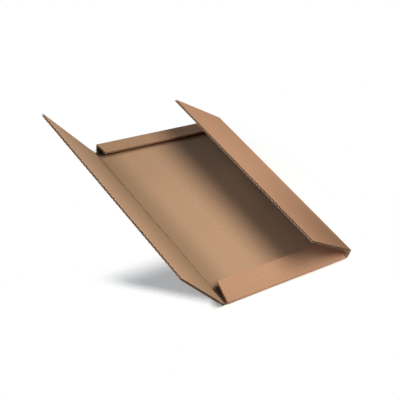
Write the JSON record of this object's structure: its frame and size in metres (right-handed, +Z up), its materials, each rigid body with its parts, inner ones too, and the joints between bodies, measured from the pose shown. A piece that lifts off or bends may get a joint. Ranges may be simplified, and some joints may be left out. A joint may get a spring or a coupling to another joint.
{
  "type": "corrugated mailer box",
  "caption": "shallow mailer folded from plain brown corrugated board, one long side flap swung out and the other half closed over the flat base",
  "frame": {"origin": "middle of the underside of the base, which lies flat on its support", "axes": "+X from the left side panel to the right one, across the base; +Y from the near short edge of the base to the far one; +Z up out of the base"},
  "size_m": [0.325, 0.2926, 0.0872],
  "materials": {
    "brown_board": "plain brown kraft facings, unprinted and matt; the cut edges show the flutes"
  },
  "bodies": {
    "base": {"folded_tray": "brown_board"},
    "left_wall": {"left_wall": "brown_board"},
    "left_flap": {"left_flap": "brown_board"},
    "right_wall": {"right_wall": "brown_board"},
    "right_flap": {"right_flap": "brown_board"}
  },
  "joints": [
    {"name": "left_wall_fold", "type": "hinge", "parent": "base", "child": "left_wall", "pos_m": [-0.11085, 0, 0.00135], "axis": [0, 1, 0], "range_deg": [-38.2, 54.8]},
    {"name": "left_flap_fold", "type": "hinge", "parent": "left_wall", "child": "left_flap", "pos_m": [-0.1224, 0, 0.01044], "axis": [0, 1, 0], "range_deg": [-2, 85]},
    {"name": "right_wall_fold", "type": "hinge", "parent": "base", "child": "right_wall", "pos_m": [0.11085, 0, 0.00135], "axis": [0, -1, 0], "range_deg": [-93, 0]},
    {"name": "right_flap_fold", "type": "hinge", "parent": "right_wall", "child": "right_flap", "pos_m": [0.11008, 0, 0.01603], "axis": [0, -1, 0], "range_deg": [-60.4, 24.8]}
  ]
}
